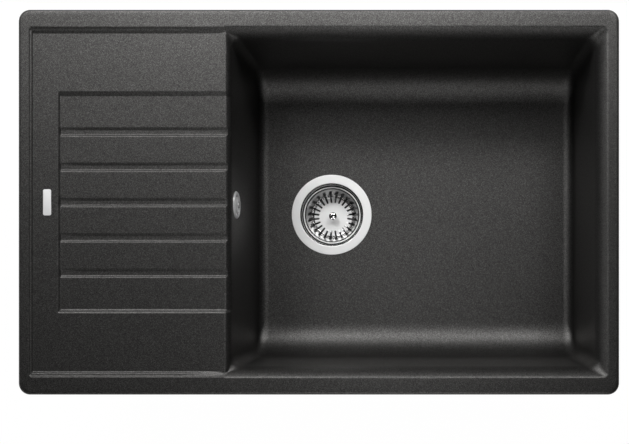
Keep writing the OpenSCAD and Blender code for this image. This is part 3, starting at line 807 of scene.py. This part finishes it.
def basin_lines(form):
    """Where the basin's grid runs along X and Y, in millimetres, closest where the surface turns"""
    edge = [form.edge * (1 - math.cos(math.radians(a))) for a in np.linspace(0, 90, 10)]
    turn = spread((-CREASE_ROUND, CREASE_ROUND, 8))

    def wall(lip, top, foot, count):
        """Offsets from an opening's crease to the floor, and the last of them"""
        deep = float(inset(np.array(form.floor), lip, top, foot, form.floor))
        straight = spread((reach(lip), deep - foot * math.cos(DRAFT), count))
        offsets = arc(lip, math.degrees(CREASE), 14) + straight + [deep - v for v in arc(foot, 0, 15)]
        return offsets, deep

    left, deep_l = wall(DRAINER_LIP, form.panel, SEAM, 13)
    right, deep_r = wall(LIP, form.rim, SEAM, 13)
    side, deep_y = wall(LIP, form.rim, COVE, 11)
    x = [-form.half_l + d for d in edge] + [form.half_l - d for d in edge]
    x += [form.left + v for v in turn + left]
    x += [form.right + v for v in turn] + [form.right - v for v in right]
    x += spread(
        (-form.half_l + form.edge, PANEL_LEFT, 3),
        (PANEL_LEFT, PANEL_LEFT + 5.6, 16),
        (PANEL_LEFT + 5.6, PLANK_LEFT - 2, 4),
        (PLANK_LEFT - 2, PLANK_LEFT - 0.2, 2),
        (PLANK_LEFT - 0.2, PLANK_LEFT + 4, 14),
        (PLANK_LEFT + 4, form.left - 6, 9),
        (form.left - 6, form.left, 3),
        (form.left + deep_l, form.right - deep_r, 18),
        (form.right, form.half_l - form.edge, 3),
    )
    y = [form.half_w - d for d in edge]
    y += [form.bowl_half - v for v in side] + [form.bowl_half + v for v in turn]
    y += spread(
        (form.bowl_half, form.half_w - form.edge, 4),
        (form.bowl_half - PANEL_STEP, form.bowl_half, 20),
        (PLANK_HALF - 6.6, PLANK_HALF + 0.6, 17),
        (PLANK_HALF + 0.6, form.bowl_half - deep_y, 2),
    )
    marks = [0.0] + spread((2.0, 6.0, 8)) + [6.7]
    for c in form.centres():
        y += [abs(c + sign * m) for m in marks for sign in (-1, 1)]
        y.append(abs(c + form.pitch / 2))

    def apart(values):
        """The lines in order, without those that nearly meet the one before"""
        out = []
        for v in sorted(values):
            if not out or v - out[-1] > 0.08:
                out.append(v)
        return out

    y = apart(v for v in y if v > 0.2)
    return np.array(apart(x)), np.array([-v for v in reversed(y)] + [0.0] + y)


def under_lines(form, xs, ys):
    """Fewer lines for the underside, from pairs of an upper line and the lower one a wall outside it"""
    left, right, half = form.left, form.right, form.bowl_half
    end, side = form.half_l, form.half_w
    seat, side_seat = end - RIM_SEAT, side - RIM_SEAT
    along = [
        (-end, -end), (-end + 4, -end + 4), (-end + 13, -seat - 0.1), (-end + 14, -seat + 0.1),
        (left - 18, left - 26), (left, left - 9.5), (left + 7, left + 1.5), (left + 40, left + 30),
        (0, 0), (right - 75, right - 75), (right - 44, right - 35), (right - 15, right - 4),
        (right, seat - 0.1), (right + 1.5, seat + 0.1), (end - 4, end - 4), (end, end),
    ]
    across = [
        (0, 0), (PLANK_HALF + 1.5, PLANK_HALF + 1.5), (PLANK_HALF + 7.5, PLANK_HALF + 9.5),
        (half - 27.5, half - 19.5), (half - 12.5, half - 2), (half, side_seat - 0.1),
        (half + 3.5, side_seat + 0.1), (side - 4, side - 4), (side, side),
    ]

    def thinned(lines, last):
        """Every second of the inner lines, and all of those near the rim"""
        return np.array([v for i, v in enumerate(lines) if last - abs(v) < 26 or i % 2 == 0])

    few_x, few_y = thinned(xs, end), thinned(ys, side)
    under_y = np.sign(few_y) * np.interp(np.abs(few_y), *zip(*across))
    return np.interp(few_x, *zip(*along)), under_y


def rounded_corners(x, y, form):
    """Draws the grid's corners in to the rim's corner radius"""
    r = form.corner
    a = np.maximum(0, (np.abs(x) - (form.half_l - r)) / r)
    b = np.maximum(0, (np.abs(y) - (form.half_w - r)) / r)
    both = (a > 0) & (b > 0)
    round_a = a * np.sqrt(1 - b * b / 2)
    round_b = b * np.sqrt(1 - a * a / 2)
    round_x = np.where(both, np.sign(x) * (form.half_l - r + round_a * r), x)
    round_y = np.where(both, np.sign(y) * (form.half_w - r + round_b * r), y)
    return round_x, round_y


def sheet_of(form, xs, ys, surface):
    """A grid whose lines are moved to xs and ys and whose heights follow a surface"""
    bm = bmesh.new()
    bmesh.ops.create_grid(bm, x_segments=len(xs) - 1, y_segments=len(ys) - 1, size=1.0)
    verts = list(bm.verts)
    i = np.rint([(v.co.x + 1) / 2 * (len(xs) - 1) for v in verts]).astype(int)
    j = np.rint([(v.co.y + 1) / 2 * (len(ys) - 1) for v in verts]).astype(int)
    x, y = rounded_corners(xs[i], ys[j], form)
    z = surface(x, y)
    for v, a, b, c in zip(verts, x, y, z):
        v.co = (a * MM, b * MM, c * MM)
    return bm


def overflow_frame(form):
    """The overflow's own frame: its origin on the bowl's inner wall, its Z out of the wall"""
    x = float(form.left_wall(np.array(OVERFLOW_Z)))
    return Matrix.Translation((x * MM, 0, OVERFLOW_Z * MM)) @ Matrix.Rotation(math.pi / 2 - DRAFT, 4, "Y")


def drain_turn(z, angle=0.0):
    """The place on the drain's axis at a height in millimetres, turned about the axis"""
    return Matrix.Translation((DRAIN_X * MM, 0, z * MM)) @ Matrix.Rotation(angle, 4, "Z")


def basin_shell(form):
    """The closed skin of the rim, the drainer and the bowl"""
    xs, ys = basin_lines(form)
    top = sheet_of(form, xs, ys, form.upper)
    under_x, under_y = under_lines(form, xs, ys)
    bottom = sheet_of(form, under_x, under_y, form.lower)
    bmesh.ops.reverse_faces(bottom, faces=bottom.faces)
    whole = joined([top, bottom])
    bmesh.ops.bridge_loops(whole, edges=[e for e in whole.edges if e.is_boundary])
    bmesh.ops.recalc_face_normals(whole, faces=whole.faces)
    return whole


def fixing_lugs(form):
    """The six lugs under the rim's long sides that take the fixing screws"""
    lugs = []
    bottom, top = form.panel - LUG_DROP, form.panel - PANEL_T + 1.0
    for x in FIXING_X:
        for side in (-1, 1):
            low, high = sorted((side * (FIXING_Y - LUG_IN), side * (FIXING_Y + LUG_OUT)))
            lugs.append(block((x - LUG_HALF, low, bottom), (x + LUG_HALF, high, top), None, 1.0))
    return joined(lugs)


def rim_plate(form, gap, low, high):
    """A plate of the rim's outline, drawn in by a gap"""
    bm = block((-form.half_l + gap, -form.half_w + gap, low), (form.half_l - gap, form.half_w - gap, high))
    round_edges(bm, upright_edges(bm), form.corner - gap, 8)
    return bm


def seal_groove(form):
    """The groove under the rim that takes the sealing strip, as a cutter"""
    outer = rim_plate(form, SEAL_INSET, -1, SEAL_DEPTH)
    core = rim_plate(form, SEAL_INSET + SEAL_WIDTH, -2, SEAL_DEPTH + 1)
    return cut(loose(outer), [loose(core)])


def badge_block(low, high, gap, corner):
    """An upright block of the badge's outline, grown by a gap"""
    half_w, half_l = BADGE_W / 2 + gap, BADGE_L / 2 + gap
    bm = block((BADGE_X - half_w, -half_l, low), (BADGE_X + half_w, half_l, high))
    round_edges(bm, upright_edges(bm), corner, 6)
    return bm


def basin_holes(form):
    """Cutters for the drain, the overflow, the tap holes' cores, the badge's pocket and the screws"""
    seat = DISH_Z - DISH_SEAT
    drain = drain_turn(0.0)
    holes = [
        rod(DISH_R + DISH_GAP, seat, seat + 20, drain, 160),
        rod(DRAIN_HOLE_R, seat - 30, seat + 10, drain, 128),
        rod(OVERFLOW_HOLE_R, -18, 12, overflow_frame(form), 64),
        badge_block(form.panel - BADGE_T + BADGE_PROUD, form.panel + 4, BADGE_GAP, BADGE_CORNER + 0.05),
    ]
    for side in (-1, 1):
        tap = Matrix.Translation((TAP_X * MM, side * TAP_Y * MM, 0))
        holes.append(rod(TAP_CORE_R, TAP_CORE_LOW, TAP_CORE_TOP, tap, 64, TAP_CORE_R - TAP_CORE_TAPER))
        for x in FIXING_X:
            screw = Matrix.Translation((x * MM, side * FIXING_Y * MM, 0))
            holes.append(rod(SCREW_HOLE_R, SCREW_HOLE_LOW, SCREW_HOLE_TOP, screw, 32))
    return holes


# The strainer's form


def around_drain(profile, z, steps, rounding_steps, closed=True):
    """A piece that is turned about the drain's axis, from its profile and its place in height"""
    return turned(smooth_line(profile, rounding_steps), (DRAIN_X * MM, 0, z * MM), steps, closed)


def quarter_opening(angle):
    """One of the four openings between the webs in the dish's bottom, as a cutter"""
    inner = math.asin(WEB_HALF / HUB_R)
    outer = math.asin(WEB_HALF / OPENING_R)
    arcs = [(HUB_R, t) for t in np.linspace(math.pi / 2 - inner, inner, 8)]
    arcs += [(OPENING_R, t) for t in np.linspace(outer, math.pi / 2 - outer, 16)]
    bm = bmesh.new()
    outline = [bm.verts.new((r * MM * math.cos(t), r * MM * math.sin(t), 0)) for r, t in arcs]
    bmesh.ops.extrude_face_region(bm, geom=[bm.faces.new(outline)])
    bmesh.ops.translate(bm, verts=[v for v in bm.verts if v not in outline], vec=(0, 0, 10 * MM))
    bmesh.ops.transform(bm, matrix=drain_turn(DISH_Z - 50, angle), verts=bm.verts)
    bmesh.ops.recalc_face_normals(bm, faces=bm.faces)
    return bm


def basket_slot(angle):
    """One of the basket's slots, from its floor up into its wall, as a cutter"""
    bm = block((SLOT_IN, -SLOT_W / 2, -37), (40, SLOT_W / 2, -20.5))
    inner = [e for e in upright_edges(bm) if e.verts[0].co.x < (SLOT_IN + 0.8) * MM]
    round_edges(bm, inner, 1.2, 4)
    bmesh.ops.transform(bm, matrix=drain_turn(DISH_Z, angle), verts=bm.verts)
    return bm


# Operators


class SINK_OT_basin(bpy.types.Operator):
    """Models the moulded basin: rim, drainer and bowl"""

    bl_idname = "sink.basin"
    bl_label = "Basin"

    def execute(self, context):
        settings = context.scene.sink_basin
        form = Form(settings)
        stone = moulded_stone(settings.colour)
        piece = finished(basin_shell(form), "moulded_basin", stone, "sink", ["basin"], 28.0)
        cut(piece, [loose(fixing_lugs(form))], "UNION")
        cut(piece, [seal_groove(form)] + [loose(hole) for hole in basin_holes(form)])
        return {"FINISHED"}


class SINK_OT_badge(bpy.types.Operator):
    """Models the bare badge plate on the drainer"""

    bl_idname = "sink.badge"
    bl_label = "Badge plate"

    def execute(self, context):
        face = Form(context.scene.sink_basin).panel + BADGE_PROUD
        bm = badge_block(face - BADGE_T, face, 0.0, BADGE_CORNER)
        top = [e for e in bm.edges if all(v.co.z > (face - 0.1) * MM for v in e.verts)]
        round_edges(bm, top, 0.25, 2)
        finished(bm, "badge_plate_bare", badge_satin(), "sink", ["badge_plate"])
        return {"FINISHED"}


class SINK_OT_dish(bpy.types.Operator):
    """Models the strainer's dish in the bowl's floor"""

    bl_idname = "sink.dish"
    bl_label = "Strainer dish"

    def execute(self, context):
        # Inside 44.6 mm the dish's colour is darkened as painted shade
        steel = turned_steel("dish_steel", context.scene.sink_finish.steel, 44.6, 1.0)
        profile = [
            (57, 0, 0.4), (56, 0, 0), (46.4, 0, 0), (45, 0, 0.9), (43, -2.6, 1.5), (41.5, -10.6, 0.8),
            (37, -10.6, 0.7), (36.8, -41, 3), (33, -44, 1), (3.2, -44, 0), (3.2, -45.2, 0),
            (33.5, -45.2, 2), (38, -41.4, 3), (38.2, -11.8, 0.4), (42.7, -11.8, 0.4), (44.1, -3.6, 1.5),
            (45.7, -1.2, 0.9), (57, -1.2, 0.3),
        ]
        bm = around_drain(profile, DISH_Z, 144, 4)
        piece = finished(bm, "strainer_dish", steel, "sink", ["drain_flange"], 40.0)
        cut(piece, [loose(quarter_opening(q * math.pi / 2)) for q in range(4)])
        return {"FINISHED"}


class SINK_OT_basket(bpy.types.Operator):
    """Models the slotted basket with its knob"""

    bl_idname = "sink.basket"
    bl_label = "Strainer basket"

    def execute(self, context):
        finish = context.scene.sink_finish
        # On its wall, between about 26.5 and 38.8 mm, the basket's colour is darkened as painted shade
        steel = turned_steel("basket_steel", finish.steel, 38.8, 28.0)
        profile = [
            (40.8, -8.1, 0.3), (39.2, -8.1, 0.6), (37.6, -9.4, 2), (35.4, -16, 4), (31.2, -31, 3),
            (28, -33.5, 2.5), (25.6, -33.5, 0), (2, -33.5, 0), (2, -34.5, 0), (28.2, -34.5, 2.5),
            (32.2, -31.3, 3), (36.4, -16.2, 4), (38.4, -10.1, 2), (40.8, -9.1, 0.3),
        ]
        bm = around_drain(profile, DISH_Z, 144, 4)
        piece = finished(bm, "strainer_basket", steel, "strainer", ["basket"], 40.0)
        slots = [basket_slot((i + 0.5) * math.tau / SLOTS) for i in range(SLOTS)]
        cut(piece, [loose(joined(slots))])
        knob = [
            (0, 0, 0), (4.4, 0, 0), (4.4, 1.1, 0.4), (3.2, 1.9, 1), (3, 7.2, 2), (5.6, 8.8, 0.8),
            (5.6, 11.2, 1.6), (3.6, 13.6, 3), (0, 14.1, 0),
        ]
        bm = around_drain(knob, DISH_Z - BASKET_FLOOR, 64, 5, closed=False)
        chrome = polished_chrome("knob_chrome", finish.chrome)
        finished(bm, "basket_knob_domed", chrome, "strainer", ["basket_knob"], 40.0)
        return {"FINISHED"}


class SINK_OT_overflow(bpy.types.Operator):
    """Models the overflow's rosette, with its cover on three ribs and its screw's sleeve"""

    bl_idname = "sink.overflow"
    bl_label = "Overflow"

    def execute(self, context):
        place = overflow_frame(Form(context.scene.sink_basin))
        chrome = polished_chrome("rosette_chrome", context.scene.sink_finish.chrome, 0.30, 0.66)
        ring = [
            (13, 0, 0), (18.2, 0, 0.2), (18.2, 0.9, 0.5), (16.9, 2.2, 1.2), (14.9, 2.7, 0.8),
            (13.6, 1.9, 0.8), (13, 1, 0.4),
        ]
        cover = [
            (2.5, 1.3, 0), (10.8, 1.3, 0.3), (11.4, 1.9, 0.5), (9, 3, 2), (5.4, 3.5, 0.5),
            (4.9, 2.5, 0.3), (2.5, 2.4, 0),
        ]
        sleeve = [(2.5, -4, 0), (5, -4, 0.3), (5, 1.4, 0), (2.5, 1.4, 0)]
        parts = [turned(smooth_line(profile, 3), (0, 0, 0), 96) for profile in (ring, cover)]
        for q in range(3):
            turn = Matrix.Rotation(q * math.tau / 3, 4, "Z")
            parts.append(block((10, -1.5, 0.4), (14.5, 1.5, 1.6), turn, 0.2))
        parts.append(turned(smooth_line(sleeve, 2), (0, 0, 0), 48))
        whole = joined(parts)
        bmesh.ops.transform(whole, matrix=place, verts=whole.verts)
        finished(
            whole, "overflow_rosette_ring", chrome, "sink", ["overflow_rosette"], 40.0,
        )
        return {"FINISHED"}


class SINK_OT_fittings(bpy.types.Operator):
    """Gives the plumbing, the gaskets and the worktop fixings their finishes"""

    bl_idname = "sink.fittings"
    bl_label = "Fittings"

    def execute(self, context):
        finish = context.scene.sink_finish
        black = moulded_plastic("waste_plastic", finish.plastic)
        grey = moulded_plastic("hose_plastic", (0.10, 0.10, 0.105), 0.5)
        rubber = gasket_rubber(finish.rubber)
        zinc = plated_steel()
        steel = satin_steel("screw_steel", finish.steel, 0.32)
        dull_steel = satin_steel("rosette_screw_steel", tint(finish.steel, 0.5), 0.50)
        claws = [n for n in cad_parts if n.startswith("claw_") and n != "claw_washers"]
        coats = {
            black: ["waste_body", "waste_tail", "overflow_elbow", "claw_washers"],
            grey: ["overflow_hose"],
            rubber: ["rim_seal", "flange_gasket", "waste_gasket", "basket_seal", "overflow_gasket"],
            zinc: claws + ["fixing_screws"],
            steel: ["clamp_screw", "basket_spindle", "hose_clips"],
            dull_steel: ["overflow_screw"],
        }
        for material, nodes in coats.items():
            for name in nodes:
                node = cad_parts[name]
                node.data.materials.clear()
                node.data.materials.append(material)
        return {"FINISHED"}


# The stage

# The surround's glow at the middle, how it falls off towards +X, and the heights it fades between
SURROUND, SURROUND_LEFT = 1.0, -0.75
SURROUND_TOP, SURROUND_LOW = 0.30, 0.08
# Where the lamps point
LAMP_AIM = (0.08, 0.0, -0.05)
# Each lamp's name, place, size and power
LAMPS = (
    ("back_right", (0.80, 1.20, 1.30), (0.4, 0.4), 14.6),
    ("back_left", (-0.80, 1.20, 1.30), (0.4, 0.4), 11.4),
    ("back_middle", (-0.50, 1.20, 1.30), (0.4, 0.4), 5.3),
    ("back_wide", (-0.74, 0.82, 1.33), (0.9, 0.9), 2.05),
    ("strip_whole", (0.06, 0.42, 0.32), (0.62, 0.2), 0.60),
    ("strip_left", (-0.20, 0.45, 0.35), (0.22, 0.22), 0.43),
    ("strip_middle", (0.10, 0.40, 0.30), (0.2, 0.2), 0.35),
    ("strip_right", (0.30, 0.40, 0.30), (0.2, 0.2), 0.15),
    ("overhead", (0.10, -0.10, 0.45), (0.2, 0.2), 0.30),
    ("front_high", (0.10, -1.20, 1.30), (0.4, 0.4), 2.9),
    ("front_low", (0.10, -1.20, 0.60), (0.4, 0.4), 1.88),
)


def panel_light(name, at, aim, size, power):
    """A soft rectangular lamp that faces a point"""
    lamp = bpy.data.lights.new(name, "AREA")
    lamp.shape = "RECTANGLE"
    lamp.size, lamp.size_y = size
    lamp.energy = power
    holder = bpy.data.objects.new(name, lamp)
    holder.location = at
    holder.rotation_euler = (Vector(aim) - Vector(at)).to_track_quat("-Z", "Y").to_euler()
    bpy.context.scene.collection.objects.link(holder)
    return holder


def studio_camera(scene):
    """A camera that looks straight down, shifted to the photograph's frame"""
    s = scene.sink_stage
    camera = bpy.data.cameras.new("studio_camera")
    camera.sensor_width = SENSOR
    camera.lens = SENSOR * s.camera_height / s.pixel / PICTURE_W
    camera.shift_x = (PICTURE_W / 2 - AXIS_COLUMN) / PICTURE_W
    camera.shift_y = (AXIS_ROW - PICTURE_H / 2) / PICTURE_W
    camera.clip_end = 30.0
    holder = bpy.data.objects.new("studio_camera", camera)
    holder.location = (s.camera_x, s.camera_y, scene.sink_basin.rim + s.camera_height)
    scene.collection.objects.link(holder)
    scene.camera = holder


def studio_paper():
    """White paper: plain to the light, and as bright as the background to the camera"""
    f = Finish("studio_paper")
    f.set(Base_Color=(0.8, 0.8, 0.8), Roughness=0.9, Specular_IOR_Level=0.1)
    gloss = f.node("ShaderNodeLightPath", output="Is Glossy Ray") * 0.3
    seen = f.node("ShaderNodeLightPath", output="Is Camera Ray").math("MAXIMUM", gloss)
    glow = f.node("ShaderNodeEmission", Strength=1.02)
    blend = f.tree.nodes.new("ShaderNodeMixShader")
    f.tree.links.new((seen * 0.97).link, blend.inputs[0])
    f.tree.links.new(f.surface.outputs[0], blend.inputs[1])
    f.tree.links.new(glow.link, blend.inputs[2])
    f.tree.links.new(blend.outputs[0], f.output.inputs["Surface"])
    return f.material


def studio_floor():
    """A wide floor of white paper just below the sink"""
    bm = bmesh.new()
    bmesh.ops.create_grid(bm, x_segments=1, y_segments=1, size=6.0)
    bmesh.ops.translate(bm, verts=bm.verts, vec=(0, 0, cad_bounds[0][2] - 0.002))
    floor = loose(bm, "studio_floor")
    floor.data.materials.append(studio_paper())


def studio_world():
    """White for the camera, and for the light a pale surround low all round under a dark ceiling"""
    world = bpy.data.worlds.new("studio_world")
    world.use_nodes = True
    back = world.node_tree.nodes["Background"]
    back.inputs["Color"].default_value = (1, 1, 1, 1)
    sky = Shading(world.node_tree)
    seen = sky.node("ShaderNodeLightPath", output="Is Camera Ray")
    way = sky.node("ShaderNodeTexCoord", output="Generated")
    across, _, up = sky.split("ShaderNodeSeparateXYZ", Vector=way)
    surround = up.ramp(SURROUND_TOP, SURROUND_LOW) * (across * SURROUND_LEFT + SURROUND)
    level = seen + (1.0 - seen) * surround
    world.node_tree.links.new(level.link, back.inputs["Strength"])
    return world


class SINK_OT_stage(bpy.types.Operator):
    """Sets the camera, the pale floor and the soft studio light"""

    bl_idname = "sink.stage"
    bl_label = "Stage"

    def execute(self, context):
        scene = context.scene
        studio_camera(scene)
        studio_floor()
        scene.world = studio_world()
        for name, at, size, power in LAMPS:
            panel_light(name, at, LAMP_AIM, size, power)
        scene.view_settings.view_transform = "Standard"
        return {"FINISHED"}


class SINK_PT_panel(bpy.types.Panel):
    """The sink's pieces in the sidebar"""

    bl_label = "Sink"
    bl_idname = "SINK_PT_panel"
    bl_space_type = "VIEW_3D"
    bl_region_type = "UI"
    bl_category = "Sink"

    def draw(self, context):
        for settings in (context.scene.sink_basin, context.scene.sink_finish, context.scene.sink_stage):
            box = self.layout.box()
            for name in settings.__annotations__:
                box.prop(settings, name)
        for operator in OPERATORS:
            self.layout.operator(operator.bl_idname)


OPERATORS = (
    SINK_OT_basin, SINK_OT_badge, SINK_OT_dish, SINK_OT_basket, SINK_OT_overflow, SINK_OT_fittings,
    SINK_OT_stage,
)
CLASSES = (BasinSettings, FinishSettings, StageSettings) + OPERATORS + (SINK_PT_panel,)


def register():
    for cls in CLASSES:
        bpy.utils.register_class(cls)
    bpy.types.Scene.sink_basin = PointerProperty(type=BasinSettings)
    bpy.types.Scene.sink_finish = PointerProperty(type=FinishSettings)
    bpy.types.Scene.sink_stage = PointerProperty(type=StageSettings)


def unregister():
    del bpy.types.Scene.sink_stage
    del bpy.types.Scene.sink_finish
    del bpy.types.Scene.sink_basin
    for cls in reversed(CLASSES):
        bpy.utils.unregister_class(cls)


def main():
    register()
    bpy.ops.sink.basin()
    bpy.ops.sink.badge()
    bpy.ops.sink.dish()
    bpy.ops.sink.basket()
    bpy.ops.sink.overflow()
    bpy.ops.sink.fittings()
    bpy.ops.sink.stage()


if __name__ == "__main__":
    main()
